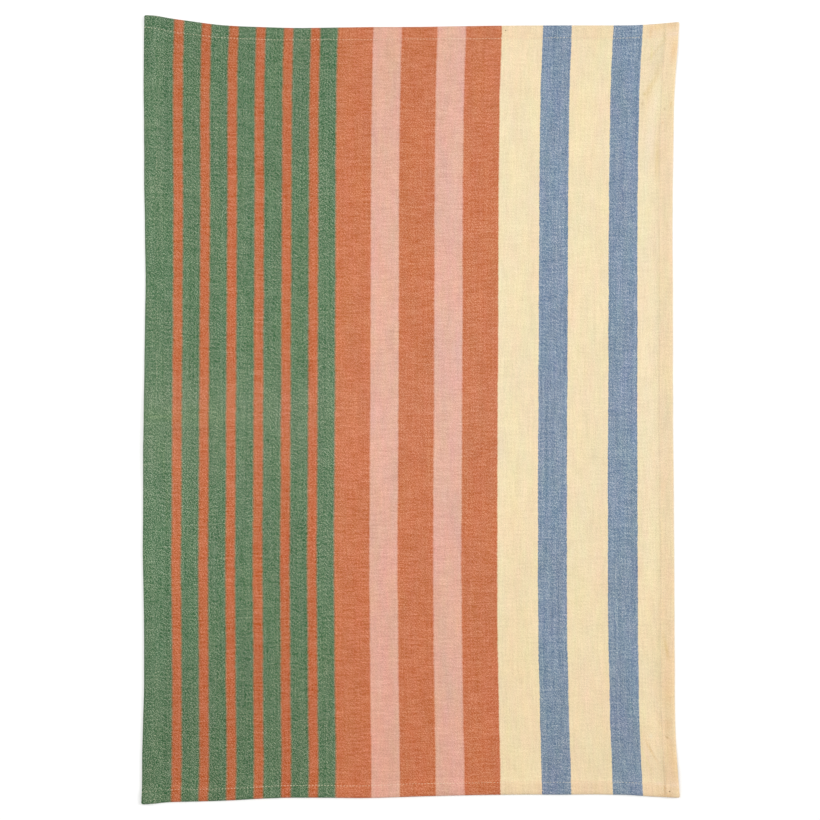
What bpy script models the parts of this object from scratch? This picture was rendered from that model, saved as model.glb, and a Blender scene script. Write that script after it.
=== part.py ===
"""A tea towel: one panel of plain-woven cotton, turned under in a narrow hem on all four sides.

It lies open on a flat surface, face up. Its stripes and its length run along Y, its width along X.
The origin is the middle of its footprint, on the surface that it lies on. Units are metres, +Z up.
"""

import math
from typing import NamedTuple

import bmesh
import bpy

MM = 0.001

# Driving sizes: the straight rectangle that the hemmed towel fills where nothing pulls at it.
TOWEL_WIDTH = 480.5 * MM
TOWEL_LENGTH = 699.0 * MM
PANEL_THICKNESS = 1.0 * MM
GRID_PITCH = 13.0 * MM  # the widest step between the rows of points inside the hems

COTTON_COLOUR = (0.604, 0.205, 0.107, 1.0)  # linear: the terracotta of the widest stripes
COTTON_ROUGHNESS = 0.9


class HemPoint(NamedTuple):
    """The cloth's upper face across the hem: how far in from the edge, and how high over the panel."""

    inward: float
    rise: float
    rounding: float  # share of its full height that the rolled edge leaves


HEM = (
    HemPoint(inward=0.0 * MM, rise=1.3 * MM, rounding=0.50),
    HemPoint(inward=0.8 * MM, rise=1.3 * MM, rounding=0.88),
    HemPoint(inward=2.4 * MM, rise=1.3 * MM, rounding=1.00),
    HemPoint(inward=9.0 * MM, rise=1.3 * MM, rounding=1.00),
    HemPoint(inward=11.3 * MM, rise=0.7 * MM, rounding=1.00),  # the stitching draws it in
    HemPoint(inward=13.5 * MM, rise=1.0 * MM, rounding=1.00),
    HemPoint(inward=18.0 * MM, rise=0.0 * MM, rounding=1.00),
)


class SideBow(NamedTuple):
    """How far the two long edges lie outside the straight rectangle at one height."""

    along: float  # 0 at the lower end, 1 at the upper end
    left: float
    right: float


SIDE_BOWS = (
    SideBow(along=0.000, left=+2.3 * MM, right=+6.4 * MM),
    SideBow(along=0.022, left=+1.7 * MM, right=+5.3 * MM),
    SideBow(along=0.048, left=+1.5 * MM, right=+4.0 * MM),
    SideBow(along=0.074, left=+1.2 * MM, right=+2.8 * MM),
    SideBow(along=0.110, left=+0.6 * MM, right=+1.7 * MM),
    SideBow(along=0.152, left=-0.2 * MM, right=+1.5 * MM),
    SideBow(along=0.235, left=+0.0 * MM, right=+1.2 * MM),
    SideBow(along=0.330, left=+0.9 * MM, right=+0.9 * MM),
    SideBow(along=0.516, left=+0.0 * MM, right=+0.0 * MM),
    SideBow(along=0.671, left=-1.7 * MM, right=-0.3 * MM),
    SideBow(along=0.765, left=-0.6 * MM, right=-0.4 * MM),
    SideBow(along=0.858, left=-0.1 * MM, right=+0.5 * MM),
    SideBow(along=0.905, left=+0.2 * MM, right=+1.1 * MM),
    SideBow(along=0.942, left=+0.1 * MM, right=+2.6 * MM),
    SideBow(along=0.973, left=+0.0 * MM, right=+4.2 * MM),
    SideBow(along=1.000, left=-0.4 * MM, right=+5.4 * MM),
)


class EndBow(NamedTuple):
    """How far the two short edges lie outside the straight rectangle at one place across."""

    across: float  # 0 at the left edge, 1 at the right edge
    lower: float
    upper: float


END_BOWS = (
    EndBow(across=0.000, lower=+6.6 * MM, upper=+11.0 * MM),
    EndBow(across=0.022, lower=+5.7 * MM, upper=+10.5 * MM),
    EndBow(across=0.045, lower=+4.6 * MM, upper=+8.7 * MM),
    EndBow(across=0.090, lower=+3.9 * MM, upper=+5.4 * MM),
    EndBow(across=0.135, lower=+3.3 * MM, upper=+2.6 * MM),
    EndBow(across=0.180, lower=+2.4 * MM, upper=+1.0 * MM),
    EndBow(across=0.225, lower=+1.3 * MM, upper=+0.3 * MM),
    EndBow(across=0.280, lower=+0.4 * MM, upper=-0.3 * MM),
    EndBow(across=0.400, lower=+0.7 * MM, upper=+0.3 * MM),
    EndBow(across=0.500, lower=-0.3 * MM, upper=+0.4 * MM),
    EndBow(across=0.620, lower=-1.9 * MM, upper=+1.3 * MM),
    EndBow(across=0.750, lower=-2.4 * MM, upper=+1.8 * MM),
    EndBow(across=0.900, lower=-2.1 * MM, upper=+1.8 * MM),
    EndBow(across=0.950, lower=-0.8 * MM, upper=+2.6 * MM),
    EndBow(across=1.000, lower=+0.3 * MM, upper=+4.8 * MM),
)


class Fold(NamedTuple):
    """A soft ridge where the cloth stands off the surface, from one end of its crest to the other.

    Places are across from the left edge and along from the lower edge. The two reaches are how far
    the ridge's slopes run out from its crest, on the side towards the upper end and on the other.
    """

    across_from: float
    along_from: float
    across_to: float
    along_to: float
    height: float
    reach_up: float
    reach_down: float


FOLDS = (
    # What is left of the fold across the middle, strongest at the left edge.
    Fold(-60 * MM, 336 * MM, 105 * MM, 330 * MM, 2.6 * MM, reach_up=48 * MM, reach_down=80 * MM),
    # The pull towards the upper right corner.
    Fold(470 * MM, 672 * MM, 448 * MM, 618 * MM, 1.6 * MM, reach_up=24 * MM, reach_down=28 * MM),
    # The pull towards the lower right corner.
    Fold(450 * MM, 62 * MM, 474 * MM, 22 * MM, 1.4 * MM, reach_up=24 * MM, reach_down=24 * MM),
    # A low swell beside the right hem, below the middle.
    Fold(455 * MM, 300 * MM, 452 * MM, 190 * MM, 0.9 * MM, reach_up=40 * MM, reach_down=30 * MM),
)


def smooth_through(rows, key, column, share):
    """The value of one column at a share along the rows, on a smooth curve through all of them."""
    keys = [getattr(row, key) for row in rows]
    values = [getattr(row, column) for row in rows]
    last = len(rows) - 1
    span = min(max(sum(k <= share for k in keys) - 1, 0), last - 1)
    width = keys[span + 1] - keys[span]
    t = min(max((share - keys[span]) / width, 0.0), 1.0)

    def slope(i):
        before, after = max(i - 1, 0), min(i + 1, last)
        return (values[after] - values[before]) / (keys[after] - keys[before])

    start, end = slope(span) * width, slope(span + 1) * width
    return (
        values[span] * (1 + 2 * t) * (1 - t) ** 2
        + values[span + 1] * (3 - 2 * t) * t**2
        + start * t * (1 - t) ** 2
        - end * (1 - t) * t**2
    )


def straight_through(column, inward):
    """One column of the hem's section at a distance in from the edge."""
    for outer, inner in zip(HEM, HEM[1:]):
        if inward <= inner.inward:
            t = (inward - outer.inward) / (inner.inward - outer.inward)
            return (1 - t) * getattr(outer, column) + t * getattr(inner, column)
    return getattr(HEM[-1], column)


def grid_lines(length):
    """Where the rows of points lie between two opposite edges: closer together in the two hems."""
    hem = [point.inward for point in HEM]
    inside = length - 2 * hem[-1]
    steps = math.ceil(inside / GRID_PITCH)
    middle = [hem[-1] + inside * step / steps for step in range(1, steps)]
    return hem + middle + [length - inward for inward in reversed(hem)]


def place(across, along):
    """The point of the surface under a point of the cloth: its straight place, and its edges' pull."""
    u, v = across / TOWEL_WIDTH, along / TOWEL_LENGTH
    left = smooth_through(SIDE_BOWS, "along", "left", v)
    right = smooth_through(SIDE_BOWS, "along", "right", v)
    lower = smooth_through(END_BOWS, "across", "lower", u)
    upper = smooth_through(END_BOWS, "across", "upper", u)
    return across - left * (1 - u) + right * u, along - lower * (1 - v) + upper * v


def fold_height(fold, across, along):
    """How far one ridge lifts the cloth: most on its crest, easing to nothing at its reaches."""
    run, climb = fold.across_to - fold.across_from, fold.along_to - fold.along_from
    length = math.hypot(run, climb)
    from_start = (across - fold.across_from) * run + (along - fold.along_from) * climb
    nearest = min(max(from_start / length**2, 0.0), 1.0)
    off_across = across - fold.across_from - nearest * run
    off_along = along - fold.along_from - nearest * climb
    reach = fold.reach_up if off_along > 0 else fold.reach_down
    away = math.hypot(off_across, off_along) / reach
    return fold.height * math.cos(math.pi / 2 * away) ** 2 if away < 1 else 0.0


def lift(across, along):
    """How far the underside stands off the surface: nothing, but for the ridges."""
    return sum(fold_height(fold, across, along) for fold in FOLDS)


def thickness(across, along):
    """The cloth's height over its own underside: the panel, the hems and their rolled edge."""
    from_side = min(across, TOWEL_WIDTH - across)
    from_end = min(along, TOWEL_LENGTH - along)
    side_rise = straight_through("rise", from_side)
    end_rise = straight_through("rise", from_end)
    rounding = straight_through("rounding", min(from_side, from_end))
    return (PANEL_THICKNESS + math.hypot(side_rise, end_rise)) * rounding


def lay_underside(mesh, across_layer, along_layer):
    """The cloth as one sheet of four-sided faces. Each point remembers its place in the cloth."""
    rows = []
    for along in grid_lines(TOWEL_LENGTH):
        row = []
        for across in grid_lines(TOWEL_WIDTH):
            point = mesh.verts.new((*place(across, along), lift(across, along)))
            point[across_layer], point[along_layer] = across, along
            row.append(point)
        rows.append(row)
    for lower, upper in zip(rows, rows[1:]):
        for a, b, c, d in zip(lower, lower[1:], upper[1:], upper):
            mesh.faces.new((a, b, c, d))


def raise_face(mesh, across_layer, along_layer):
    """The upper face: the underside's sheet drawn up by the cloth's own thickness, with its rim."""
    raised = bmesh.ops.extrude_face_region(mesh, geom=mesh.faces[:], use_keep_orig=True)
    for point in raised["geom"]:
        if isinstance(point, bmesh.types.BMVert):
            point.co.z += thickness(point[across_layer], point[along_layer])
    bmesh.ops.recalc_face_normals(mesh, faces=mesh.faces)


def centre_footprint(mesh):
    """Moves the cloth so that the origin is the middle of its footprint."""
    for axis in range(2):
        places = [point.co[axis] for point in mesh.verts]
        middle = (min(places) + max(places)) / 2
        for point in mesh.verts:
            point.co[axis] -= middle


def cotton():
    """Plain-woven cotton, matt."""
    material = bpy.data.materials.new("woven_cotton")
    material.use_nodes = True
    shader = material.node_tree.nodes["Principled BSDF"]
    shader.inputs["Base Color"].default_value = COTTON_COLOUR
    shader.inputs["Roughness"].default_value = COTTON_ROUGHNESS
    shader.inputs["Metallic"].default_value = 0.0
    material.diffuse_color = COTTON_COLOUR
    return material


def make_towel():
    """The panel with its four hems, as one closed body."""
    mesh = bmesh.new()
    across_layer = mesh.verts.layers.float.new("across")
    along_layer = mesh.verts.layers.float.new("along")
    lay_underside(mesh, across_layer, along_layer)
    raise_face(mesh, across_layer, along_layer)
    centre_footprint(mesh)
    cloth = bpy.data.meshes.new("towel_cloth")
    mesh.to_mesh(cloth)
    mesh.free()
    cloth.shade_smooth()
    cloth.materials.append(cotton())
    bpy.context.scene.collection.objects.link(bpy.data.objects.new("towel_cloth", cloth))


for leftover in list(bpy.data.objects):
    bpy.data.objects.remove(leftover, do_unlink=True)
make_towel()
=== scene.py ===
"""A striped cotton tea towel, hemmed on all four sides, lying open and face up on a pale floor.

The sizes in the tables are millimetres in the cloth itself: across from its left edge, and along from
its lower edge. The meshes are in metres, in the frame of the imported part.
"""

import math
from functools import partial
from typing import NamedTuple

import bpy
import numpy as np
from bpy.props import FloatProperty, FloatVectorProperty, PointerProperty
from bpy.types import Operator, Panel, PropertyGroup
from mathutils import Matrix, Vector, noise


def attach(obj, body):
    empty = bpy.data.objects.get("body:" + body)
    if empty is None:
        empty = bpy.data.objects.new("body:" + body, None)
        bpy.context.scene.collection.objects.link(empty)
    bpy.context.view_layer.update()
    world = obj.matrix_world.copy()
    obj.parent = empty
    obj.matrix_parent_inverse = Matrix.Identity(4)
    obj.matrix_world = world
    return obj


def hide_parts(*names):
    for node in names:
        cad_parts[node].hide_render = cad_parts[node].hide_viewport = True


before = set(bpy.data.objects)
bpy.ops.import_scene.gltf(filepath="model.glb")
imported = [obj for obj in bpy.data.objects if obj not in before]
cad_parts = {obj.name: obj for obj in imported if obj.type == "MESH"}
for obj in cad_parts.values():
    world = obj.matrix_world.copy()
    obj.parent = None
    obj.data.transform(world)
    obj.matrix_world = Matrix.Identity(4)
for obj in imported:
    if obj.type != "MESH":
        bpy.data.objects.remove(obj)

bl_info = {
    "name": "Striped Tea Towel",
    "version": (1, 0, 0),
    "blender": (4, 5, 0),
    "location": "3D View > Sidebar > Tea Towel",
    "description": "Makes a hemmed, striped cotton tea towel, its machine stitching and a plain stage",
    "category": "Add Mesh",
}

CAD_NODE = "towel_cloth"
CAD_BODY = "root"
CLOTH_MAP = "cloth"  # the UV map that holds each point's place in the cloth, in metres
MM = 0.001


# --- The towel's shape ---


class HemPoint(NamedTuple):
    """The cloth's section across the hem. Rise is over the panel's upper face, gap under the cloth.

    Upper and under are the shares of the full height at which the two faces lie in the turned edge.
    """

    inward: float
    rise: float
    gap: float = 0.0
    upper: float = 1.0
    under: float = 0.0


HEM_SECTION = (
    HemPoint(0.0, rise=1.00, upper=0.36, under=0.36),
    HemPoint(0.25, rise=1.00, upper=0.64, under=0.18),
    HemPoint(0.8, rise=1.05, upper=0.86, under=0.06),
    HemPoint(2.0, rise=1.20, upper=0.96),
    HemPoint(4.3, rise=1.28),
    HemPoint(6.6, rise=1.30),
    HemPoint(9.0, rise=1.28),
    HemPoint(10.6, rise=1.20, gap=0.05),
    HemPoint(11.3, rise=0.98, gap=0.20),  # the stitching draws it together
    HemPoint(12.0, rise=0.84, gap=0.05),
    HemPoint(13.2, rise=0.56, gap=0.45),  # the hem's inner layers end
    HemPoint(15.0, rise=0.20, gap=0.20),
    HemPoint(18.0, rise=0.04, gap=0.04),
    HemPoint(21.0, rise=0.0),
)
HEM_FOLD_INWARD = 12.6  # how far in the hem's inner layers reach
HEM_FOLD_BLUR = 0.6  # how softly their edge shows in the colour
STITCH_LINE = 11.3
RIM_WIDTH = 6.0  # over which the waves and creases die away at the outer edge
DEEPEST_TROUGH = 0.3  # in the upper face, so that the cloth keeps its thickness
NEEDLE_GROOVE = 0.2  # how far the stitching draws up the underside


class SideBow(NamedTuple):
    """How far the two long edges lie outside the straight rectangle at one height."""

    along: float  # 0 at the lower end, 1 at the upper end
    left: float
    right: float


SIDE_BOWS = (
    SideBow(0.000, +2.3, +6.5),
    SideBow(0.022, +1.7, +5.3),
    SideBow(0.048, +1.5, +4.0),
    SideBow(0.074, +1.2, +2.9),
    SideBow(0.110, +0.6, +2.0),
    SideBow(0.152, -0.2, +1.9),
    SideBow(0.235, +0.0, +1.5),
    SideBow(0.330, +0.9, +1.1),
    SideBow(0.516, +0.0, +0.2),
    SideBow(0.671, -1.5, +0.1),
    SideBow(0.765, -0.5, -0.1),
    SideBow(0.858, -0.1, +0.8),
    SideBow(0.905, +0.2, +1.4),
    SideBow(0.942, +0.1, +3.0),
    SideBow(0.973, +0.0, +4.8),
    SideBow(1.000, -0.4, +6.0),
)


class EndBow(NamedTuple):
    """How far the two short edges lie outside the straight rectangle at one place across."""

    across: float  # 0 at the left edge, 1 at the right edge
    lower: float
    upper: float


END_BOWS = (
    EndBow(0.000, +6.2, +12.0),
    EndBow(0.022, +5.6, +11.2),
    EndBow(0.045, +4.4, +9.2),
    EndBow(0.090, +3.8, +5.9),
    EndBow(0.135, +3.2, +3.1),
    EndBow(0.180, +2.2, +1.5),
    EndBow(0.225, +1.1, +0.7),
    EndBow(0.280, +0.2, +0.2),
    EndBow(0.400, +0.5, +0.8),
    EndBow(0.500, -0.6, +0.9),
    EndBow(0.620, -2.2, +2.0),
    EndBow(0.750, -2.6, +2.4),
    EndBow(0.900, -2.4, +2.4),
    EndBow(0.950, -0.8, +3.5),
    EndBow(1.000, +0.3, +5.6),
)


class StripeDrift(NamedTuple):
    """How far the stripes inside the cloth lie to the right of straight at one height."""

    along: float  # 0 at the lower end, 1 at the upper end
    first: float  # at the first of the narrow stripes
    middle: float
    last: float  # at the blue stripe by the right edge


STRIPE_DRIFT = (
    StripeDrift(0.000, -0.8, +1.4, +3.9),
    StripeDrift(0.048, -0.2, +1.1, +3.0),
    StripeDrift(0.100, -0.3, +0.6, +1.7),
    StripeDrift(0.152, -0.5, +0.1, +0.8),
    StripeDrift(0.205, -0.5, -0.3, -0.1),
    StripeDrift(0.310, -1.0, -0.8, -0.3),
    StripeDrift(0.412, -0.2, -0.5, -0.4),
    StripeDrift(0.516, +0.0, +0.0, +0.0),
    StripeDrift(0.651, +0.4, +0.4, +0.4),
    StripeDrift(0.750, +0.9, +0.5, +0.7),
    StripeDrift(0.853, +0.8, +1.0, +1.4),
    StripeDrift(0.931, +0.9, +1.8, +2.5),
    StripeDrift(0.973, +1.5, +2.6, +3.7),
    StripeDrift(1.000, +2.3, +3.1, +4.5),
)
DRIFT_PLACES = {"first": 0.08, "middle": 0.485, "last": 0.86}  # shares of the width


class Ridge(NamedTuple):
    """A soft ridge in the cloth, or a trough where its height is below zero.

    It runs straight from one end of its crest to the other. The two reaches are how far its slopes
    run out from the crest, on the side towards the upper end and on the other.
    """

    across_from: float
    along_from: float
    across_to: float
    along_to: float
    height: float
    reach_up: float
    reach_down: float


LIFTED_RIDGES = (
    # What is left of the fold across the middle. It sinks towards the left edge.
    Ridge(-60, 336, 105, 330, 0.9, 48, 80),
    Ridge(58, 331.7, 105, 330, 1.7, 48, 80),
    # The pull towards the upper right corner.
    Ridge(470, 672, 448, 618, 1.6, 24, 28),
    # The pull towards the lower right corner.
    Ridge(450, 62, 474, 22, 1.4, 24, 24),
    # A low swell beside the right hem, below the middle.
    Ridge(455, 300, 452, 190, 0.9, 40, 30),
)

CREASES = (
    # Pressed lines that run down from the upper right corner.
    Ridge(467.5, 684, 458, 670, -0.25, 4, 4),
    Ridge(469, 666, 453, 624, +0.45, 7, 6),
    Ridge(464, 640, 457, 560, +0.35, 8, 7),
    # Short ones that run down to the lower right corner.
    Ridge(461, 97, 469, 73, +0.35, 4, 4),
    Ridge(464, 73, 471, 61, -0.35, 3, 3),
    Ridge(456, 62, 463, 47, +0.35, 4, 4),
    Ridge(454.5, 53, 463, 34, +0.50, 3.5, 3.5),
    Ridge(451, 40, 460, 16, +0.35, 3.5, 3),
    Ridge(469.5, 58, 475.5, 50, -0.45, 3, 3),
    # Faint ones in the cream bars over the lower hem.
    Ridge(328, 36, 342, 20, +0.40, 5, 4),
    Ridge(325, 33, 337, 20, -0.30, 4, 4),
    Ridge(397, 36, 409, 25, +0.40, 5, 4),
)


class Unevenness(NamedTuple):
    """One size of the low, irregular waves that no ironing takes out of the cloth."""

    length: float
    height: float


UNEVEN = (Unevenness(90, 0.45), Unevenness(34, 0.16), Unevenness(13, 0.05))
EDGE_WANDER = Unevenness(30, 0.22)  # sideways, so that no edge or stripe is ruler-straight
PUCKER = Unevenness(14, 0.16)  # the hem's fullness between its stitches
PUCKER_REACH = 9.0  # from the stitching to both sides
CORNER_RADIUS = 1.6
LAYER_STEP = 7.3  # between two layers of waves, in the noise that they are cut from
NEAR_ZERO = 1e-6  # keeps a division from failing where a distance is zero


def smooth_through(rows, key, column, at):
    """One column of a table at any places between its rows, on a smooth curve through all of them."""
    keys = np.array([getattr(row, key) for row in rows])
    values = np.array([getattr(row, column) for row in rows])
    places = np.arange(len(rows))
    before, after = np.maximum(places - 1, 0), np.minimum(places + 1, len(rows) - 1)
    slopes = (values[after] - values[before]) / (keys[after] - keys[before])
    span = np.clip(np.searchsorted(keys, at, side="right") - 1, 0, len(rows) - 2)
    width = keys[span + 1] - keys[span]
    t = np.clip((at - keys[span]) / width, 0.0, 1.0)
    return (
        values[span] * (1 + 2 * t) * (1 - t) ** 2
        + values[span + 1] * (3 - 2 * t) * t**2
        + slopes[span] * width * t * (1 - t) ** 2
        - slopes[span + 1] * width * (1 - t) * t**2
    )


def straight_through(column, inward):
    """One column of the hem's section at any distances in from the edge."""
    places = [point.inward for point in HEM_SECTION]
    return np.interp(inward, places, [getattr(point, column) for point in HEM_SECTION])


def waves(across, along, size, layer):
    """Irregular smooth waves of one size, the same on every run. Each layer has its own."""
    heights = [
        noise.noise(Vector((a / size.length, b / size.length, LAYER_STEP * layer)))
        for a, b in zip(np.ravel(across), np.ravel(along))
    ]
    return size.height * np.reshape(heights, np.shape(across))


def ridge_height(ridge, across, along):
    """How far one ridge lifts the cloth: most on its crest, easing to nothing at its reaches."""
    run, climb = ridge.across_to - ridge.across_from, ridge.along_to - ridge.along_from
    from_start = (across - ridge.across_from) * run + (along - ridge.along_from) * climb
    nearest = np.clip(from_start / (run**2 + climb**2), 0.0, 1.0)
    off_across = across - ridge.across_from - nearest * run
    off_along = along - ridge.along_from - nearest * climb
    distance = np.maximum(np.hypot(off_across, off_along), NEAR_ZERO)
    length_rightwards = math.copysign(math.hypot(run, climb), run)
    upward = (off_along * run - off_across * climb) / (distance * length_rightwards)
    reach = ridge.reach_down + (ridge.reach_up - ridge.reach_down) * (1 + upward) / 2
    away = np.minimum(distance / reach, 1.0)
    return ridge.height * np.cos(math.pi / 2 * away) ** 2


class Cloth:
    """The laid towel: where each point of the cloth lies, all in millimetres."""

    def __init__(self, settings):
        self.width = settings.towel_width / MM
        self.length = settings.towel_length / MM
        self.thickness = settings.cloth_thickness / MM
        self.pitch = settings.grid_pitch / MM
        self.middle = (0.0, 0.0)
        x, y = self.place(*self.grid())
        self.middle = ((x.min() + x.max()) / 2, (y.min() + y.max()) / 2)

    def lines(self, length):
        """The rows of points between two opposite edges: the hem section's, and even ones."""
        hem = [point.inward for point in HEM_SECTION]
        inside = length - 2 * hem[-1]
        steps = math.ceil(inside / self.pitch)
        even = [hem[-1] + inside * step / steps for step in range(1, steps)]
        return hem + even + [length - inward for inward in reversed(hem)]

    def grid(self):
        """Every point of the mesh, as its place across and along the cloth."""
        return np.meshgrid(self.lines(self.width), self.lines(self.length))

    def inward(self, across, along):
        """How far points are in from the nearer side edge, and from the nearer end."""
        return np.minimum(across, self.width - across), np.minimum(along, self.length - along)

    def rounded(self, across, along):
        """Points of a corner's square tip, drawn in to its small round."""
        from_side, from_end = self.inward(across, along)
        side, end = 1 - from_side / CORNER_RADIUS, 1 - from_end / CORNER_RADIUS
        tip = (side > 0) & (end > 0)
        draw = np.where(tip, np.maximum(side, end) / np.maximum(np.hypot(side, end), NEAR_ZERO), 1.0)
        inset_side = np.where(tip, CORNER_RADIUS * side * (1 - draw), 0.0)
        inset_end = np.where(tip, CORNER_RADIUS * end * (1 - draw), 0.0)
        return (
            across + np.where(across < self.width / 2, inset_side, -inset_side),
            along + np.where(along < self.length / 2, inset_end, -inset_end),
        )

    def place(self, across, along):
        """Where points lie on the floor, seen from above."""
        u, v = across / self.width, along / self.length
        columns = [(0.0, -smooth_through(SIDE_BOWS, "along", "left", v))]
        for name, share in DRIFT_PLACES.items():
            columns.append((share, smooth_through(STRIPE_DRIFT, "along", name, v)))
        columns.append((1.0, smooth_through(SIDE_BOWS, "along", "right", v)))
        drift = np.zeros(np.shape(across))
        for (start, nearer), (end, farther) in zip(columns, columns[1:]):
            t = (u - start) / (end - start)
            drift = np.where((t >= 0) & (t <= 1), (1 - t) * nearer + t * farther, drift)
        lower = smooth_through(END_BOWS, "across", "lower", u)
        upper = smooth_through(END_BOWS, "across", "upper", u)
        across, along = self.rounded(across, along)
        x = across + drift + waves(across, along, EDGE_WANDER, 1)
        y = along - lower * (1 - v) + upper * v + waves(across, along, EDGE_WANDER, 2)
        return x - self.middle[0], y - self.middle[1]

    def swell(self, across, along):
        """The low waves and the creases of the cloth, which die away at the hems' outer edges."""
        height = sum(waves(across, along, size, 3 + i) for i, size in enumerate(UNEVEN))
        height = height + sum(ridge_height(crease, across, along) for crease in CREASES)
        from_side, from_end = self.inward(across, along)
        return height * np.clip(np.minimum(from_side, from_end) / RIM_WIDTH, 0.0, 1.0)

    def pucker(self, across, along):
        """The fullness of the hems on both sides of their stitching."""
        from_side, from_end = self.inward(across, along)
        from_seam = np.minimum(np.abs(from_side - STITCH_LINE), np.abs(from_end - STITCH_LINE))
        return waves(across, along, PUCKER, 9) * np.clip(1 - from_seam / PUCKER_REACH, 0.0, 1.0)

    def body_height(self, across, along):
        """The height of all the layers together: the panel, and its hems with their overlap."""
        from_side, from_end = self.inward(across, along)
        rise = np.hypot(straight_through("rise", from_side), straight_through("rise", from_end))
        return self.thickness + rise

    def upper(self, across, along):
        """The height of the upper face."""
        lift = sum(ridge_height(ridge, across, along) for ridge in LIFTED_RIDGES)
        waved = self.swell(across, along) + self.pucker(across, along)
        share = straight_through("upper", np.minimum(*self.inward(across, along)))
        raised = np.maximum(waved, -DEEPEST_TROUGH) * (share >= 1)
        return lift + self.body_height(across, along) * share + raised

    def under(self, across, along):
        """The height of the underside, on the floor but for the ridges and the hems' steps."""
        lift = sum(ridge_height(ridge, across, along) for ridge in LIFTED_RIDGES)
        from_side, from_end = self.inward(across, along)
        panel = np.minimum(from_side, from_end) > HEM_FOLD_INWARD
        gap = np.hypot(straight_through("gap", from_side), straight_through("gap", from_end))
        waved = np.maximum(self.swell(across, along), 0.0) * panel
        share = straight_through("under", np.minimum(from_side, from_end))
        gap = np.where(panel, gap, np.minimum(gap, NEEDLE_GROOVE))
        return lift + waved + gap + self.body_height(across, along) * share


def sheet_mesh(cloth):
    """The towel's two faces, which share their outermost points, as one closed mesh."""
    across, along = cloth.grid()
    x, y = cloth.place(across, along)
    upper = np.stack((x, y, cloth.upper(across, along)), axis=-1)
    under = np.stack((x, y, cloth.under(across, along)), axis=-1)[1:-1, 1:-1]
    upper_points = np.arange(x.size).reshape(x.shape)
    under_points = upper_points.copy()
    under_points[1:-1, 1:-1] = x.size + np.arange(under[..., 0].size).reshape(under.shape[:2])

    def quads(points):
        corners = points[:-1, :-1], points[:-1, 1:], points[1:, 1:], points[1:, :-1]
        return np.stack(corners, axis=-1).reshape(-1, 4)

    points = np.concatenate((upper.reshape(-1, 3), under.reshape(-1, 3))) * MM
    faces = np.concatenate((quads(upper_points), quads(under_points)[:, ::-1]))
    mesh = bpy.data.meshes.new("laid_towel")
    mesh.from_pydata(points.tolist(), [], faces.tolist())
    mesh.shade_smooth()

    places = np.stack((across, along), axis=-1)
    in_cloth = np.concatenate((places.reshape(-1, 2), places[1:-1, 1:-1].reshape(-1, 2))) * MM
    corner_points = np.empty(len(mesh.loops), dtype=np.int32)
    mesh.loops.foreach_get("vertex_index", corner_points)
    mesh.uv_layers.new(name=CLOTH_MAP).data.foreach_set("uv", in_cloth[corner_points].ravel())
    return mesh


# --- The stitching ---

STITCH_SHOWN = 0.86  # share of a stitch's length between its needle holes
STITCH_DEPTH = 1.1  # how deep its ends dip, in thicknesses of thread
STITCH_SEED = 7


class Dip(NamedTuple):
    """How a stitch's end turns down: what lies beyond a place drops a little further."""

    beyond: float  # share of the stitch's length, from its middle
    drop: float  # share of its depth


DIPS = (Dip(beyond=0.40, drop=0.4), Dip(beyond=0.48, drop=0.6))


def model_stitch(length, thickness, depth):
    """One stitch along X: the thread swells out of one needle hole and dips into the next."""
    bpy.ops.object.select_all(action="DESELECT")
    bpy.ops.mesh.primitive_uv_sphere_add(segments=6, ring_count=6, radius=0.5)
    stitch = bpy.context.object
    bpy.ops.object.mode_set(mode="EDIT")
    bpy.ops.mesh.select_all(action="SELECT")
    bpy.ops.transform.rotate(value=math.pi / 2, orient_axis="Y", center_override=(0, 0, 0))
    bpy.ops.transform.resize(value=(length, thickness, thickness), center_override=(0, 0, 0))
    for dip in DIPS:
        bpy.ops.mesh.select_all(action="DESELECT")
        bpy.ops.object.mode_set(mode="OBJECT")
        for point in stitch.data.vertices:
            point.select = abs(point.co.x) > dip.beyond * length
        bpy.ops.object.mode_set(mode="EDIT")
        bpy.ops.transform.translate(value=(0, 0, -dip.drop * depth))
    bpy.ops.object.mode_set(mode="OBJECT")
    return stitch


class Seam(NamedTuple):
    """One hem's line of stitches, from corner to corner in shares of the towel's width and length."""

    start: tuple
    end: tuple
    inward: tuple  # the way from the edge to the seam
    further: float  # how much further in than the other seams it lies
    sunk: tuple  # how deep the thread has drawn into the cloth, at its start and at its end


SEAMS = (
    Seam(start=(0, 0), end=(0, 1), inward=(1, 0), further=0.0, sunk=(0.16, 0.15)),
    Seam(start=(1, 0), end=(1, 1), inward=(-1, 0), further=0.7, sunk=(-0.10, -0.10)),
    Seam(start=(0, 0), end=(1, 0), inward=(0, 1), further=0.0, sunk=(0.09, 0.03)),
    Seam(start=(0, 1), end=(1, 1), inward=(0, -1), further=0.0, sunk=(0.10, -0.04)),
)
SEAM_WANDER = Unevenness(60, 0.9)  # no seam keeps its distance from the edge all along
SEAM_DEPTH = Unevenness(45, 0.07)  # nor does its thread lie equally deep


def seam_places(cloth, inset, stitch_length):
    """The middle of each stitch in the cloth, the way that its seam runs there, and its depth."""
    size = np.array((cloth.width, cloth.length))
    places, ways, depths = [], [], []
    for layer, seam in enumerate(SEAMS):
        start, end = np.array(seam.start) * size, np.array(seam.end) * size
        run = np.linalg.norm(end - start)
        count = int(run / stitch_length)
        steps = (np.arange(count) + 0.5) / count
        line = start + np.outer(steps, end - start)
        wander = inset + seam.further + waves(line[:, 0], line[:, 1], SEAM_WANDER, 20 + layer)
        places.append(line + np.outer(wander, seam.inward))
        ways.append(np.tile((end - start) / run, (count, 1)))
        sunk = seam.sunk[0] + steps * (seam.sunk[1] - seam.sunk[0])
        depths.append(sunk + waves(line[:, 0], line[:, 1], SEAM_DEPTH, 30 + layer))
    return np.concatenate(places), np.concatenate(ways), np.concatenate(depths)


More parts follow.
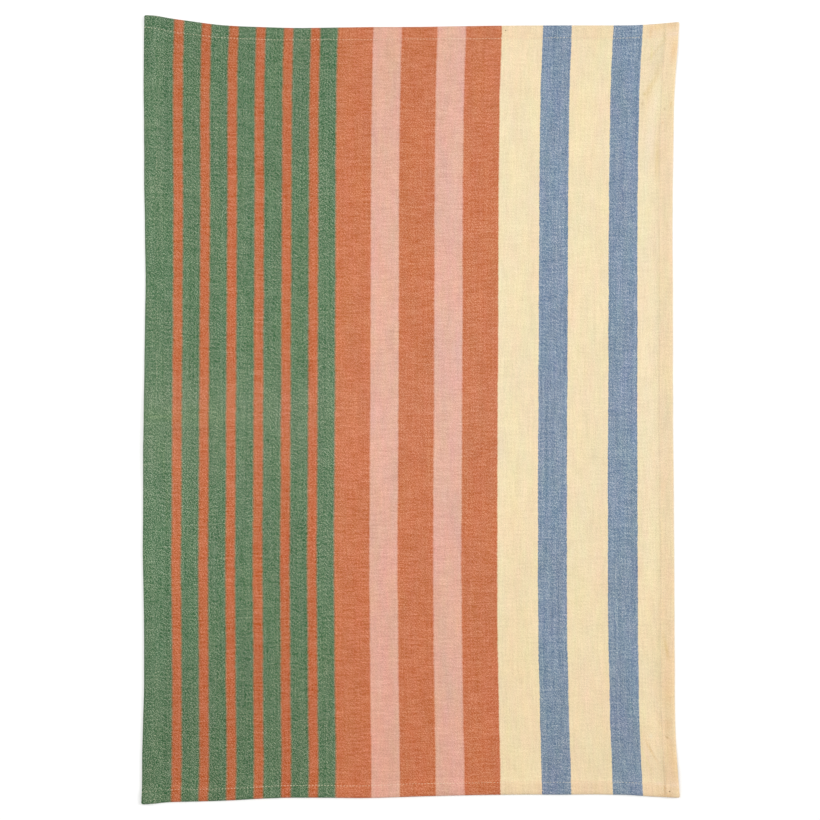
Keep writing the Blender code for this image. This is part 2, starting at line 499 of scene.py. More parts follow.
def stitching_mesh(cloth, stitch, inset, stitch_length, slip):
    """Copies of one stitch along the four seams, on the upper face and on the underside."""
    noise.seed_set(STITCH_SEED)
    places, ways, depths = seam_places(cloth, inset, stitch_length)
    stray = np.array([noise.random_unit_vector()[:2] for _ in places]) * slip
    across, along = (places + stray).T
    x, y = cloth.place(across, along)
    ahead_x, ahead_y = cloth.place(*(places + stray + ways).T)
    runs = np.stack((ahead_x - x, ahead_y - y), axis=-1)
    runs /= np.linalg.norm(runs, axis=1, keepdims=True)

    shape = np.array([point.co for point in stitch.data.vertices]) / MM
    faces = [tuple(face.vertices) for face in stitch.data.polygons]
    points, all_faces = [], []
    for height, side in ((cloth.upper(across, along) - depths, 1), (cloth.under(across, along), -1)):
        for i in range(len(places)):
            first = len(points)
            run_x, run_y = runs[i]
            for px, py, pz in shape:
                turned_x, turned_y = px * run_x - py * run_y, px * run_y + py * run_x
                points.append((x[i] + turned_x, y[i] + turned_y, height[i] + side * pz))
            ordered = faces if side > 0 else [face[::-1] for face in faces]
            all_faces += [tuple(first + corner for corner in face) for face in ordered]
    mesh = bpy.data.meshes.new("hem_stitching")
    mesh.from_pydata((np.array(points) * MM).tolist(), [], all_faces)
    mesh.shade_smooth()
    return mesh


# --- The materials ---


def linear(hex_colour):
    """An sRGB hex colour as Blender's linear red, green, blue and alpha."""
    parts = [int(hex_colour[i : i + 2], 16) / 255 for i in (1, 3, 5)]
    return (*(c / 12.92 if c <= 0.04045 else ((c + 0.055) / 1.055) ** 2.4 for c in parts), 1.0)


def add_node(tree, kind, inputs, operation=None, **settings):
    """Adds a shader node with its settings. Inputs are values, nodes or sockets."""
    made = tree.nodes.new("ShaderNode" + kind)
    if operation:
        made.operation = operation
    for name, value in settings.items():
        setattr(made, name, value)
    for socket, value in inputs.items():
        if isinstance(value, bpy.types.Node):
            value = value.outputs[0]
        if isinstance(value, bpy.types.NodeSocket):
            tree.links.new(value, made.inputs[socket])
        else:
            made.inputs[socket].default_value = value
    return made


def new_material(name):
    """A material to build on, and add_node for its tree."""
    material = bpy.data.materials.new(name)
    material.use_nodes = True
    return material, partial(add_node, material.node_tree)


def finished(material, colour, roughness, specular, normal=None):
    """The material, with its colour and relief linked to the shader, and its dullness set."""
    tree = material.node_tree
    shader = tree.nodes["Principled BSDF"]
    tree.links.new(colour, shader.inputs["Base Color"])
    if normal:
        tree.links.new(normal, shader.inputs["Normal"])
    shader.inputs["Roughness"].default_value = roughness
    shader.inputs["Specular IOR Level"].default_value = specular
    return material


class Bar(NamedTuple):
    """A lengthwise bar of one warp yarn, which reaches across to the start of the next bar."""

    start: float
    yarn: str


BARS = (
    Bar(0.0, "green"),
    Bar(26.2, "narrow_terracotta"),
    Bar(34.5, "green"),
    Bar(50.7, "narrow_terracotta"),
    Bar(59.0, "green"),
    Bar(75.3, "narrow_terracotta"),
    Bar(83.6, "green"),
    Bar(100.0, "narrow_terracotta"),
    Bar(108.3, "green"),
    Bar(124.9, "narrow_terracotta"),
    Bar(133.2, "green"),
    Bar(149.5, "narrow_terracotta"),
    Bar(157.7, "green"),
    Bar(173.8, "terracotta"),
    Bar(205.8, "pink"),
    Bar(231.3, "terracotta"),
    Bar(263.7, "pink"),
    Bar(289.2, "terracotta"),
    Bar(321.7, "cream"),
    Bar(358.6, "blue"),
    Bar(384.8, "cream"),
    Bar(421.9, "blue"),
    Bar(448.3, "cream"),
)


class Yarn(NamedTuple):
    """How a dyed yarn looks in the cloth. Flecks and slubs show in dark yarn more than in pale."""

    fleck: float  # how crossings differ from one another
    weft_slub: float  # how the weft's thick places show across
    warp_slub: float  # how the warp's own show along
    shade: float  # how single warp yarns differ in shade over their whole length
    tint: float  # how the yarn's hue wavers
    mingling: float  # how far the yarn strays in among its neighbour's, in millimetres


YARNS = {
    "green": Yarn(0.222, 0.125, 0.085, 0.08, 0.15, 0.7),
    "narrow_terracotta": Yarn(0.143, 0.140, 0.068, 0.04, 0.18, 0.5),
    "terracotta": Yarn(0.134, 0.145, 0.066, 0.04, 0.20, 0.5),
    "pink": Yarn(0.104, 0.120, 0.066, 0.02, 0.29, 0.3),
    "cream": Yarn(0.078, 0.066, 0.080, 0.02, 0.19, 0.1),
    "blue": Yarn(0.222, 0.175, 0.140, 0.12, 0.23, 0.1),
}
FLOAT_EVERY = 5.0  # weft yarns drawn, from one place where a warp yarn rides high to the next
# Where a crossing is thick, the one after it along the warp or the weft is squeezed by these shares.
NEIGHBOURS = (((0.0, 1.0, 0.0), 0.32), ((1.0, 0.0, 0.0), 0.36))
MIDDLE_GREY = (0.5, 0.5, 0.5)  # the mean of a noise texture
UNCHANGED = (1.0, 1.0, 1.0)  # what leaves a colour as it is
YARN_WANDER = 0.06  # waves to the millimetre in the yarns' straying, so one in about 17 mm
SLUB_ROW_STEP = 3.7  # far enough apart in the noise that no two yarns are alike
RELIEF_SHADE = 1.9  # how much the crossings' thickness lightens or darkens the colour
RELIEF_STRENGTH = 0.3
MOTTLE_SCALE = 0.055  # soft patches to the millimetre, so one in about 18 mm
DYE_LOT_SCALE = (0.05, 0.014, 1.0)  # one in about 20 mm across the yarns, and in 70 mm along them
RUBBED_AND_LIT_WIDTH = 300.0  # how far across the bands, rubbed paler and partly painted light, grow fainter


class RubbedAndLitBand(NamedTuple):
    """A soft band across the towel, where a pressed fold has rubbed the warp paler, and where painted
    light brightens the fold.
    """

    along: float
    reach: float
    at_left: float
    at_right: float


RUBBED_AND_LIT_BANDS = (
    RubbedAndLitBand(along=356.0, reach=25.0, at_left=0.030, at_right=0.010),
    RubbedAndLitBand(along=318.0, reach=44.0, at_left=0.016, at_right=0.003),
)


class Tone(NamedTuple):
    """A soft patch or streak of shifted colour: wear, washing or pressing in some, painted shade and
    painted light on folds and creases in others.
    """

    across: float
    along: float
    reach_across: float
    reach_along: float
    shift: tuple  # what the linear red, green and blue are multiplied by in its middle
    slant: float = 0.0  # degrees that the patch is turned, leftwards at its upper end


TONES = [Tone(*row) for row in (
    # The lower end has yellowed a little, and most beside the right hem.
    (260, 0, 400, 190, (1.02, 0.985, 0.955)),
    (474, 80, 9, 170, (0.985, 0.96, 0.925)),
    # The right hem is a little darker, but for a lighter line along its seam, and the left hem paler.
    (476, 400, 7, 330, (0.975, 0.98, 0.97)),
    (469.6, 350, 1.4, 900, (1.07, 1.07, 1.07)),
    (8, 430, 4, 400, (1.06, 1.05, 1.06)),
    (10.5, 640, 3, 90, (1.08, 1.06, 1.07)),
    (6, 500, 2.5, 100, (1.07, 1.06, 1.07)),
    # Beside the fold across the middle the green has yellowed, and a thin band on its lower side is
    # painted shade of the crease.
    (30, 346, 45, 9, (0.99, 1.02, 0.955)),
    (35, 333.5, 60, 4, (0.94, 0.96, 0.955)),
    (12, 343.5, 20, 2.0, (1.03, 1.045, 0.975)),
    # Yellowed warp yarns beside the first narrow stripe.
    (18.6, 302, 0.9, 16, (0.97, 1.0, 0.90)),
    (21.5, 266, 0.9, 24, (0.98, 1.01, 0.90)),
    # The left end corners are darker, and the last bar of green is paler.
    (40, 60, 120, 130, (0.93, 0.93, 0.93)),
    (158, 0, 40, 14, (1.04, 1.04, 1.06)),
    (12, 712, 40, 30, (0.965, 0.965, 0.975)),
    (60, 690, 170, 150, (0.94, 0.95, 0.95)),
    (166, 350, 10, 500, (1.06, 1.05, 1.06)),
    # The middle is a little paler in places, most of them right of the green.
    (290, 420, 35, 220, (1.01, 1.03, 1.06)),
    (458, 480, 12, 200, (1.0, 1.01, 1.05)),
    (458, 330, 11, 400, (1.02, 1.02, 1.02)),
    (435, 400, 9, 250, (1.03, 1.03, 1.03)),
    (25, 215, 40, 90, (1.03, 1.045, 1.055)),
    (338, 150, 14, 170, (1.0, 0.995, 0.97)),
    # The ends of the terracotta and the blue nearest the middle are darker.
    (215, 690, 35, 110, (0.99, 0.965, 0.96)),
    (215, 50, 35, 190, (1.0, 0.965, 0.96)),
    (371, 690, 10, 60, (0.93, 0.94, 0.96)),
    (371, 40, 10, 90, (0.93, 0.95, 0.98)),
    # Creases that run down from the upper right corner: painted shade and some soiling on their shaded
    # sides, and painted light on their lit sides.
    (463.8, 678, 1.5, 7, (0.95, 0.93, 0.89), -36),
    (459.0, 672, 1.5, 4, (0.96, 0.94, 0.90), -30),
    (464.0, 656, 3.0, 8, (0.96, 0.93, 0.87), -15),
    (458.5, 643, 2.2, 10, (0.96, 0.93, 0.86), -31),
    (455.8, 634, 3.4, 13, (0.96, 0.93, 0.86), -14),
    (464.0, 627, 3.4, 15, (1.02, 1.03, 1.08), -12),
    (458.5, 592, 3.6, 24, (1.02, 1.04, 1.09), -6),
    (466.5, 577, 2.5, 16, (0.96, 0.93, 0.86), -3),
    (475, 635, 6, 60, (1.0, 0.985, 0.99)),
    (465, 583, 2.0, 20, (0.99, 0.98, 0.93)),
    # The upper right corner's worn spots, partly soiling and partly painted shade, and the painted
    # shade and painted light of its hem's folds.
    (460.0, 696, 8, 3.0, (1.0, 0.93, 0.84)),
    (474.5, 696, 6, 2.5, (0.95, 0.90, 0.84)),
    (467.8, 688, 1.1, 4, (0.89, 0.89, 0.82)),
    (477.0, 688.5, 6, 2.0, (1.02, 1.02, 1.12)),
    (477.2, 674, 2.5, 11, (1.0, 0.90, 0.80)),
    (455.2, 690, 1.2, 6, (1.0, 0.93, 0.86)),
    (457.3, 671, 1.0, 7, (0.97, 1.0, 0.84)),
    (472.0, 621, 1.0, 1.2, (0.82, 0.80, 0.78)),
    (470.5, 609, 1.0, 1.2, (0.88, 0.82, 0.76)),
    (452.9, 636, 1.2, 1.4, (0.85, 0.83, 0.72)),
    (451.3, 627, 1.3, 2.6, (0.86, 0.84, 0.80)),
    (477.5, 625, 1.0, 3, (0.92, 0.86, 0.76)),
    # Creases that run down to the lower right corner: painted shade on their shaded sides and painted
    # light on their lit sides.
    (457.5, 42, 1.0, 11, (0.94, 0.88, 0.78), 27),
    (459.8, 43, 0.9, 10, (1.04, 1.04, 1.04), 26),
    (453.5, 31, 0.9, 13, (0.99, 1.03, 0.93), 22),
    (466.5, 66.5, 1.0, 6, (0.93, 0.91, 0.88), 38),
    (463.5, 86, 1.4, 11, (1.02, 1.04, 1.07), 18),
    (458.3, 55, 1.8, 2.4, (0.98, 1.03, 1.12)),
    # The lower right corner's worn spots, partly soiling and partly painted shade, and the painted
    # shade and painted light of its hem's folds.
    (473.3, 134, 1.6, 10, (0.92, 0.88, 0.76), 10),
    (475.0, 92, 3.5, 11, (0.95, 0.91, 0.86)),
    (474.0, 66, 3.0, 6, (0.97, 0.91, 0.87)),
    (472.6, 54.3, 1.0, 1.8, (0.70, 0.65, 0.58), 50),
    (477.0, 33, 4.0, 20, (0.96, 0.91, 0.84), 8),
    (469.0, 26, 2.2, 12, (0.97, 0.95, 0.93)),
    (468.0, 8, 1.0, 5, (0.84, 0.77, 0.66)),
    (469.0, 2.0, 5, 2.0, (0.94, 0.87, 0.80)),
    (463.2, 12.5, 4, 1.8, (1.03, 1.03, 1.12)),
    (477.5, 12.0, 5.5, 2.6, (1.03, 1.04, 1.14)),
)]


class Speck(NamedTuple):
    """A dark speck of seed husk in the yarn."""

    across: float
    along: float
    radius: float


SPECKS = (Speck(471.8, 5.6, 0.55), Speck(325.0, 694.4, 0.5))


def add_bars(add, across, settings):
    """The warp's dyed colour at each place across, its grain, and its hue, shade and creaminess."""

    def values(name):
        yarn = YARNS[name]
        return (
            np.array(getattr(settings, name)[:3]),
            np.array((yarn.fleck, yarn.weft_slub, yarn.warp_slub)),
            np.array((yarn.shade, yarn.tint, name == "cream")),
        )

    totals = [tuple(value) for value in values(BARS[0].yarn)]
    for before, bar in zip(BARS, BARS[1:]):
        blend = YARNS[before.yarn].mingling + YARNS[bar.yarn].mingling
        edge = {"From Min": bar.start - blend, "From Max": bar.start + blend}
        over = add("MapRange", {"Value": across, **edge}).outputs[0]
        changes = [tuple(new - old) for new, old in zip(values(bar.yarn), values(before.yarn))]
        steps = [add("VectorMath", {0: change, "Scale": over}, "SCALE") for change in changes]
        pairs = zip(totals, steps)
        totals = [add("VectorMath", {0: total, 1: step}, "ADD") for total, step in pairs]
    return totals


def add_streaks(add, counted, run, slub_length):
    """Slubs: each yarn's thickness changes along it, and no two yarns are alike."""
    share = add("Math", {0: run, 1: MM / slub_length}, "MULTIPLY")
    row = add("Math", {0: counted, 1: SLUB_ROW_STEP}, "MULTIPLY")
    place = add("CombineXYZ", {0: share, 1: row})
    slubs = {"Vector": place, "Scale": 1.0, "Detail": 1.0}
    return add("TexNoise", slubs, noise_dimensions="2D").outputs[0]


def make_woven_cotton(settings):
    """Plain-woven, yarn-dyed cotton, softened by washing.

    The dyed warp runs along the towel and nearly covers a pale weft, which shows as fine flecks. Both
    yarns are slubby, which leaves short streaks both ways. The surface is matt.
    """
    material, add = new_material("plain_woven_cotton")
    uv = add("UVMap", {}, uv_map=CLOTH_MAP)
    cloth = add("VectorMath", {0: uv, "Scale": 1 / MM}, "SCALE")
    wander = {"Vector": cloth, "Scale": YARN_WANDER, "Detail": 1.0}
    stray = add("TexNoise", wander, noise_dimensions="2D").outputs["Color"]
    centred = add("VectorMath", {0: stray, 1: MIDDLE_GREY}, "SUBTRACT")
    most = (settings.yarn_stray / MM,) * 3
    strayed = add("VectorMath", {0: centred, 1: most, 2: cloth}, "MULTIPLY_ADD")
    place = add("SeparateXYZ", {0: strayed})
    across, along = place.outputs["X"], place.outputs["Y"]

    # The weave. Its yarns cross about every 0.45 mm, which shows as fine flecks. They are drawn every
    # 0.75 mm, and the slubs on yarns twice as coarse, so that they show. Each warp yarn rides a
    # little high every 4 mm, which gives the cloth its faint lattice.
    crossings = add("VectorMath", {0: strayed, "Scale": MM / settings.yarn_pitch}, "SCALE")
    crossing_count = add("VectorMath", {0: crossings}, "FLOOR")
    flecks = add("TexWhiteNoise", {"Vector": crossing_count}, noise_dimensions="2D")
    for step, squeeze in NEIGHBOURS:
        beside = add("VectorMath", {0: crossing_count, 1: step}, "ADD")
        neighbour = add("TexWhiteNoise", {"Vector": beside}, noise_dimensions="2D")
        flecks = add("Math", {0: neighbour, 1: -squeeze, 2: flecks}, "MULTIPLY_ADD")
    coarse_pitches = (MM / settings.warp_slub_pitch, MM / settings.weft_slub_pitch, 1.0)
    coarse = add("VectorMath", {0: strayed, 1: coarse_pitches}, "MULTIPLY")
    counted = add("VectorMath", {0: coarse}, "FLOOR")
    count = add("SeparateXYZ", {0: counted})
    weft_slub = add_streaks(add, count.outputs["Y"], across, settings.weft_slub_length)
    warp_slub = add_streaks(add, count.outputs["X"], along, settings.warp_slub_length)
    warp_shade = add_streaks(add, count.outputs["X"], along, settings.warp_shade_length)
    floats = add("TexWhiteNoise", {"W": count.outputs["X"]}, noise_dimensions="1D")
    float_row = add("Math", {0: floats, 1: FLOAT_EVERY, 2: count.outputs["Y"]}, "MULTIPLY_ADD")
    since_float = add("Math", {0: float_row, 1: FLOAT_EVERY}, "FLOORED_MODULO")
    floating = add("Math", {0: since_float, 1: 1.0}, "LESS_THAN")
    flecks = add("Math", {0: floating, 1: settings.float_mark, 2: flecks}, "MULTIPLY_ADD")
    uneven = add("CombineXYZ", {0: flecks, 1: weft_slub, 2: warp_slub})
    squeezed = sum(squeeze for _, squeeze in NEIGHBOURS)
    mean_fleck = 0.5 * (1 - squeezed) + settings.float_mark / FLOAT_EVERY
    off_mean = add("VectorMath", {0: uneven, 1: (mean_fleck, 0.5, 0.5)}, "SUBTRACT")

    # Where two bars meet, the edge steps from one weft yarn to the next.
    row_stray = add("TexWhiteNoise", {"W": count.outputs["Y"]}, noise_dimensions="1D")
    row_off = add("Math", {0: row_stray, 1: 0.5}, "SUBTRACT")
    stepped = add("Math", {0: row_off, 1: settings.edge_step / MM, 2: across}, "MULTIPLY_ADD")
    colour, grain, look = add_bars(add, stepped, settings)
    looks = add("SeparateXYZ", {0: look})
    shade, hue, in_cream = looks.outputs

    # The cream is deeper where the hems' layers lie under it. Over all the pale weft shows in flecks.
    far_side = add("Math", {0: settings.towel_width / MM, 1: across}, "SUBTRACT")
    far_end = add("Math", {0: settings.towel_length / MM, 1: along}, "SUBTRACT")
    sides = add("Math", {0: across, 1: far_side}, "MINIMUM")
    ends = add("Math", {0: along, 1: far_end}, "MINIMUM")
    inward = add("Math", {0: sides, 1: ends}, "MINIMUM")
    span = {"From Min": HEM_FOLD_INWARD - HEM_FOLD_BLUR, "From Max": HEM_FOLD_INWARD + HEM_FOLD_BLUR}
    layered = add("MapRange", {"Value": inward, **span, "To Min": 1.0, "To Max": 0.0})
    cream_layers = add("Math", {0: layered, 1: in_cream}, "MULTIPLY")
    creams = {0: cream_layers, 6: colour, 7: settings.layered_cream}
    dyed = add("Mix", creams, data_type="RGBA").outputs[2]
    grained = add("VectorMath", {0: off_mean, 1: grain}, "DOT_PRODUCT").outputs["Value"]
    long_off = add("Math", {0: warp_shade, 1: 0.5}, "SUBTRACT")
    flecked = add("Math", {0: long_off, 1: shade, 2: grained}, "MULTIPLY_ADD")
    weft_share = add("Math", {0: flecked, 1: settings.weft_show}, "ADD", use_clamp=True)
    relief_shade = add("Math", {0: flecked, 1: RELIEF_SHADE, 2: 1.0}, "MULTIPLY_ADD")
    woven = add("Mix", {0: weft_share, 6: dyed, 7: settings.weft}, data_type="RGBA").outputs[2]
    shaded = add("VectorMath", {0: woven, "Scale": relief_shade}, "SCALE")

    # Mottling: soft lighter and darker patches, and faint warmer and cooler ones.
    soft = {"Scale": MOTTLE_SCALE, "Detail": 3.0, "Roughness": 0.65}
    patches = add("TexNoise", {"Vector": cloth, **soft}, noise_dimensions="2D")
    yarn_runs = add("VectorMath", {0: cloth, 1: DYE_LOT_SCALE}, "MULTIPLY")
    rough = {"Scale": 1.0, "Detail": 5.0, "Roughness": 0.75}
    dye_lots = add("TexNoise", {"Vector": yarn_runs, **rough}, noise_dimensions="2D").outputs["Color"]
    patch_off = add("Math", {0: patches, 1: 0.5}, "SUBTRACT")
    patch_shade = add("Math", {0: patch_off, 1: settings.mottle, 2: 1.0}, "MULTIPLY_ADD")
    mottled = add("VectorMath", {0: shaded, "Scale": patch_shade}, "SCALE")
    tints = add("VectorMath", {0: dye_lots, 1: MIDDLE_GREY}, "SUBTRACT")
    tint = add("VectorMath", {0: tints, 1: hue, 2: UNCHANGED}, "MULTIPLY_ADD")
    tinted = add("VectorMath", {0: mottled, 1: tint}, "MULTIPLY")

    # The folds across the middle have rubbed the dyed warp paler, most at the left; painted light
    # brightens them too.
    faded_and_lit = tinted
    for band in RUBBED_AND_LIT_BANDS:
        from_crest = add("Math", {0: along, 1: band.along}, "SUBTRACT")
        share = add("Math", {0: from_crest, 1: band.reach}, "DIVIDE")
        squared = add("Math", {0: share, 1: share}, "MULTIPLY")
        near_crest = add("Math", {0: 1 / math.e, 1: squared}, "POWER")
        paling = {"From Max": RUBBED_AND_LIT_WIDTH, "To Min": band.at_left, "To Max": band.at_right}
        strength = add("MapRange", {"Value": across, **paling})
        # paler where the fold is rubbed, and partly painted light on the fold
        rubbed_and_lit = add("Math", {0: near_crest, 1: strength}, "MULTIPLY")
        faded_and_lit = add("Mix", {0: rubbed_and_lit, 6: faded_and_lit, 7: settings.weft}, data_type="RGBA").outputs[2]

    # The worn patches, with the painted shade and painted light of folds and creases. They are
    # multiplied together on their own first, or Cycles runs out of room for their values.
    wear_and_painted_light = UNCHANGED
    for tone in TONES:
        patch = {
            "Location": (tone.across, tone.along, 0.0),
            "Rotation": (0.0, 0.0, math.radians(tone.slant)),
            "Scale": (tone.reach_across, tone.reach_along, 1.0),
        }
        off = add("Mapping", {"Vector": cloth, **patch}, vector_type="TEXTURE")
        squared = add("VectorMath", {0: off, 1: off}, "DOT_PRODUCT").outputs["Value"]
        near = add("Math", {0: 1 / math.e, 1: squared}, "POWER")
        change = tuple(part - 1 for part in tone.shift)
        shift = add("VectorMath", {0: change, "Scale": near}, "SCALE")
        wear_and_painted_light = add("VectorMath", {0: wear_and_painted_light, 1: shift, 2: wear_and_painted_light}, "MULTIPLY_ADD")

    specked = add("VectorMath", {0: faded_and_lit, 1: wear_and_painted_light}, "MULTIPLY")
    for speck in SPECKS:
        place = (speck.across, speck.along, 0.0)
        away = add("VectorMath", {0: cloth, 1: place}, "DISTANCE").outputs["Value"]
        dark = add("Math", {0: away, 1: speck.radius}, "LESS_THAN")
        specked = add("Mix", {0: dark, 6: specked, 7: settings.husk}, data_type="RGBA").outputs[2]

    # The relief of the yarns, over which the light catches.
    relief = {"Height": grained, "Strength": RELIEF_STRENGTH, "Distance": settings.weave_relief}
    bump = add("Bump", relief).outputs["Normal"]
    return finished(material, specked, roughness=0.92, specular=0.2, normal=bump)


def make_sewing_thread(settings):
    """Spun polyester sewing thread: off-white, with a dull shine and its twist as slanting lines.

    The real thread's plies show about every 0.5 mm. They are drawn every 1.6 mm, so that they show.
    """
    material, add = new_material("spun_polyester_thread")
    at = add("TexCoord", {}).outputs["Object"]
    plies = {"Vector": at, "Scale": 400.0, "Distortion": 2.0}
    twist = add("TexWave", plies, bands_direction="DIAGONAL")
    shades = add("TexNoise", {"Vector": at, "Scale": 300.0, "Detail": 1.0})
    off_whites = {0: twist, 6: settings.thread_shadow, 7: settings.thread}
    plied = add("Mix", off_whites, data_type="RGBA").outputs[2]
    soiling = {"From Min": 0.3, "From Max": 0.7, "To Min": 0.9, "To Max": 1.05}
    soiled = add("MapRange", {"Value": shades, **soiling}).outputs[0]
    shaded = add("VectorMath", {0: plied, "Scale": soiled}, "SCALE")
    return finished(material, shaded.outputs[0], roughness=0.55, specular=0.35)


def make_pale_floor(settings):
    """Matt white-painted board: an even pale ground with barely a mottle."""
    material, add = new_material("matt_white_board")
    at = add("TexCoord", {}).outputs["Object"]
    grain = add("TexNoise", {"Vector": at, "Scale": 3.0, "Detail": 2.0})
    shade = add("MapRange", {"Value": grain, "To Min": 0.99, "To Max": 1.01}).outputs[0]
    colour = add("VectorMath", {0: settings.floor[:3], "Scale": shade}, "SCALE")
    return finished(material, colour.outputs[0], roughness=0.9, specular=0.1)


# --- The add-on ---

FLOOR_DROP = 0.2 * MM  # under the frame's zero, so that the cloth's underside clears the floor
LIGHT_AIM = (0.0, 0.1, 0.0)
CAMERA_PLACE = (-0.00048, -0.00026)  # so that the towel lies where the photo has it
SENSOR_WIDTH = 36.0  # in millimetres
VIEW_DISTANCE = 20.0  # as far as the camera sees, in metres


def in_metres(name, description, default):
    """A length that a user can change."""
    return FloatProperty(name=name, description=description, default=default, subtype="DISTANCE")


def from_hex(name, description, hex_colour):
    """A colour that a user can change."""
    default = linear(hex_colour)
    return FloatVectorProperty(
        name=name, description=description, default=default, size=4, subtype="COLOR"
    )


def number(name, description, default, **kind):
    """Any other number that a user can change."""
    return FloatProperty(name=name, description=description, default=default, **kind)


class TowelClothSettings(PropertyGroup):
    """Sizes and yarn colours of the cloth."""

    towel_width: in_metres("Width", "Across the straight, hemmed towel", 0.4805)
    towel_length: in_metres("Length", "Along the straight, hemmed towel", 0.699)
    cloth_thickness: in_metres("Cloth thickness", "One layer as it lies", 0.00085)
    grid_pitch: in_metres("Grid pitch", "The widest step between points of the mesh", 0.003)
    yarn_pitch: in_metres("Yarn pitch", "Between the flecks drawn", 0.00075)
    warp_slub_pitch: in_metres("Warp slub pitch", "Between the slubby warp yarns drawn", 0.00086)
    weft_slub_pitch: in_metres("Weft slub pitch", "Between the slubby weft yarns drawn", 0.0008)
    yarn_stray: in_metres("Yarn stray", "How far yarns wander sideways", 0.0007)
    edge_step: in_metres("Edge step", "How far the bars' edges step between yarns", 0.0004)
    weft_slub_length: in_metres("Weft slub", "Length of the thick places across", 0.014)
    warp_slub_length: in_metres("Warp slub", "Length of the thick places along", 0.018)
    warp_shade_length: in_metres("Warp shade", "Length over which a warp yarn keeps its shade", 0.25)
    weave_relief: in_metres("Weave relief", "Height of the yarns' crests", 0.0002)
    weft_show: number("Weft show", "Mean share of the pale weft", 0.08)
    float_mark: number("Float mark", "Where a warp yarn rides high", 0.28)
    mottle: number("Mottle", "Strength of the soft patches", 0.08)
    green: from_hex("Green", "Sage green warp", "#32613C")
    narrow_terracotta: from_hex("Narrow terracotta", "Narrow warp stripes", "#AF4D0A")
    terracotta: from_hex("Terracotta", "Wide warp stripes", "#B95D2B")
    pink: from_hex("Pink", "Dusty pink warp", "#D29D8A")
    cream: from_hex("Cream", "Cream warp", "#E2CFA8")
    layered_cream: from_hex("Layered cream", "Cream where the hem's three layers lie", "#E1C9A3")
    blue: from_hex("Blue", "Faded blue warp", "#677F99")
    weft: from_hex("Weft", "Pale ecru weft", "#F0E6D2")
    husk: from_hex("Husk", "Specks of seed husk", "#7A5A3C")


class TowelStitchingSettings(PropertyGroup):
    """Sizes and colour of the hem's machine stitching."""

    inset: in_metres("Inset", "From the towel's edge to the seam", 0.0113)
    stitch_length: in_metres("Stitch length", "From one needle hole to the next", 0.0028)
    thread_thickness: in_metres("Thread", "Thickness of the sewing thread", 0.00034)
    slip: in_metres("Slip", "How far stitches stray from their line", 0.00008)
    thread: from_hex("Thread colour", "Off-white", "#F6EBCF")
    thread_shadow: from_hex("Thread shadow", "Between the plies", "#DCCFB0")


class TowelStageSettings(PropertyGroup):
    """The floor, the light and the camera."""

    floor: from_hex("Floor", "Matt white", "#FBFBFA")
    floor_size: in_metres("Floor size", "Side of the floor", 12.0)
    left_power: number("Left softbox", "Its power", 7.8, unit="POWER")
    right_power: number("Right softbox", "Its power", 45.2, unit="POWER")
    softbox_size: in_metres("Softbox size", "Its side", 1.0)
    fill: number("Fill", "Even light of the white room", 0.6)
    camera_height: in_metres("Camera height", "Over the floor", 2.0703)
    lens: number("Lens", "Focal length in millimetres", 100.0, subtype="DISTANCE_CAMERA")


class TOWEL_OT_cloth(Operator):
    """Lay the woven towel with its hems, folds and creases in place of the plain solid"""

    bl_idname = "towel.lay_cloth"
    bl_label = "Lay Cloth"

    def execute(self, context):
        settings = context.scene.towel_cloth
        piece = bpy.data.objects.new("laid_towel", sheet_mesh(Cloth(settings)))
        context.scene.collection.objects.link(piece)
        piece.data.materials.append(make_woven_cotton(settings))
        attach(piece, CAD_BODY)
        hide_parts(CAD_NODE)
        return {"FINISHED"}


class TOWEL_OT_stitching(Operator):
    """Sew the four hems with a straight machine stitch, on both faces of the cloth"""

    bl_idname = "towel.sew_hems"
    bl_label = "Sew Hems"

    def execute(self, context):
        settings = context.scene.towel_stitching
        thickness = settings.thread_thickness
        shown = STITCH_SHOWN * settings.stitch_length
        stitch = model_stitch(shown, thickness, STITCH_DEPTH * thickness)
        cloth = Cloth(context.scene.towel_cloth)
        sizes = (settings.inset / MM, settings.stitch_length / MM, settings.slip / MM)
        mesh = stitching_mesh(cloth, stitch, *sizes)
        bpy.data.objects.remove(stitch)
        piece = bpy.data.objects.new("hem_stitching", mesh)
        context.scene.collection.objects.link(piece)
        piece.data.materials.append(make_sewing_thread(settings))
        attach(piece, CAD_BODY)
        return {"FINISHED"}


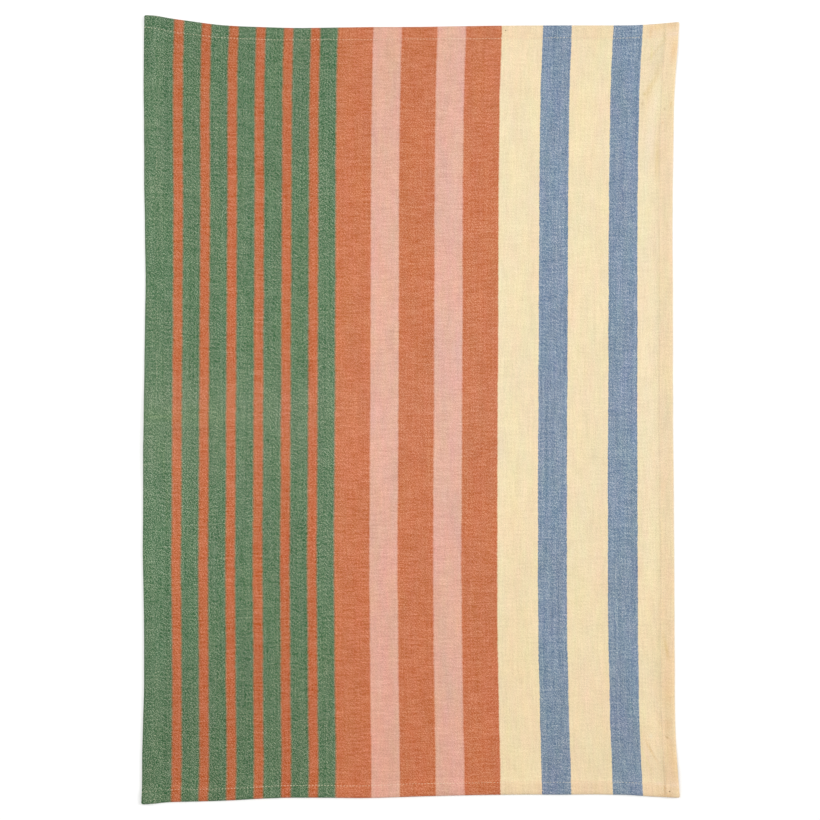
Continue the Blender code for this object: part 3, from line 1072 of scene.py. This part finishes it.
class TOWEL_OT_stage(Operator):
    """Set up the pale floor, the soft light and the camera straight above the towel"""

    bl_idname = "towel.set_stage"
    bl_label = "Set Stage"

    def execute(self, context):
        settings = context.scene.towel_stage
        bpy.ops.object.select_all(action="DESELECT")
        bpy.ops.mesh.primitive_plane_add(size=settings.floor_size, location=(0, 0, -FLOOR_DROP))
        floor = context.object
        floor.name = "pale_floor"
        floor.data.materials.append(make_pale_floor(settings))

        world = bpy.data.worlds.new("white_room")
        world.use_nodes = True
        background = world.node_tree.nodes["Background"]
        background.inputs["Color"].default_value = (1.0, 1.0, 1.0, 1.0)
        background.inputs["Strength"].default_value = settings.fill
        context.scene.world = world

        # The right one rakes over the cloth from the upper right. The left one evens its light out.
        softboxes = (
            ("left", (-0.65, 0.2, 1.1), settings.left_power),
            ("right", (2.6, 0.6, 1.5), settings.right_power),
        )
        for name, place, power in softboxes:
            softbox = bpy.data.lights.new(f"{name}_softbox", "AREA")
            softbox.shape = "SQUARE"
            softbox.size = settings.softbox_size
            softbox.energy = power
            lamp = bpy.data.objects.new(f"{name}_softbox", softbox)
            lamp.location = place
            aim = Vector(LIGHT_AIM) - lamp.location
            lamp.rotation_euler = aim.to_track_quat("-Z", "Y").to_euler()
            lamp.visible_camera = False
            context.scene.collection.objects.link(lamp)

        lens = bpy.data.cameras.new("camera")
        lens.lens = settings.lens
        lens.sensor_width = SENSOR_WIDTH
        lens.clip_end = VIEW_DISTANCE
        camera = bpy.data.objects.new("camera", lens)
        camera.location = (*CAMERA_PLACE, settings.camera_height)
        context.scene.collection.objects.link(camera)
        context.scene.camera = camera
        context.scene.view_settings.view_transform = "Standard"
        return {"FINISHED"}


class TOWEL_PT_panel(Panel):
    """Lists the towel's pieces and their settings"""

    bl_idname = "TOWEL_PT_panel"
    bl_label = "Tea Towel"
    bl_space_type = "VIEW_3D"
    bl_region_type = "UI"
    bl_category = "Tea Towel"

    def draw(self, context):
        scene = context.scene
        steps = (
            (TOWEL_OT_stage, scene.towel_stage),
            (TOWEL_OT_cloth, scene.towel_cloth),
            (TOWEL_OT_stitching, scene.towel_stitching),
        )
        for step, settings in steps:
            box = self.layout.box()
            for name in settings.bl_rna.properties.keys():
                if name not in ("rna_type", "name"):
                    box.prop(settings, name)
            box.operator(step.bl_idname)


CLASSES = (
    TowelClothSettings,
    TowelStitchingSettings,
    TowelStageSettings,
    TOWEL_OT_cloth,
    TOWEL_OT_stitching,
    TOWEL_OT_stage,
    TOWEL_PT_panel,
)


def register():
    for entry in CLASSES:
        bpy.utils.register_class(entry)
    bpy.types.Scene.towel_cloth = PointerProperty(type=TowelClothSettings)
    bpy.types.Scene.towel_stitching = PointerProperty(type=TowelStitchingSettings)
    bpy.types.Scene.towel_stage = PointerProperty(type=TowelStageSettings)


def unregister():
    del bpy.types.Scene.towel_stage
    del bpy.types.Scene.towel_stitching
    del bpy.types.Scene.towel_cloth
    for entry in reversed(CLASSES):
        bpy.utils.unregister_class(entry)


def main():
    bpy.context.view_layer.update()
    register()
    bpy.ops.towel.set_stage()
    bpy.ops.towel.lay_cloth()
    bpy.ops.towel.sew_hems()


if __name__ == "__main__":
    main()
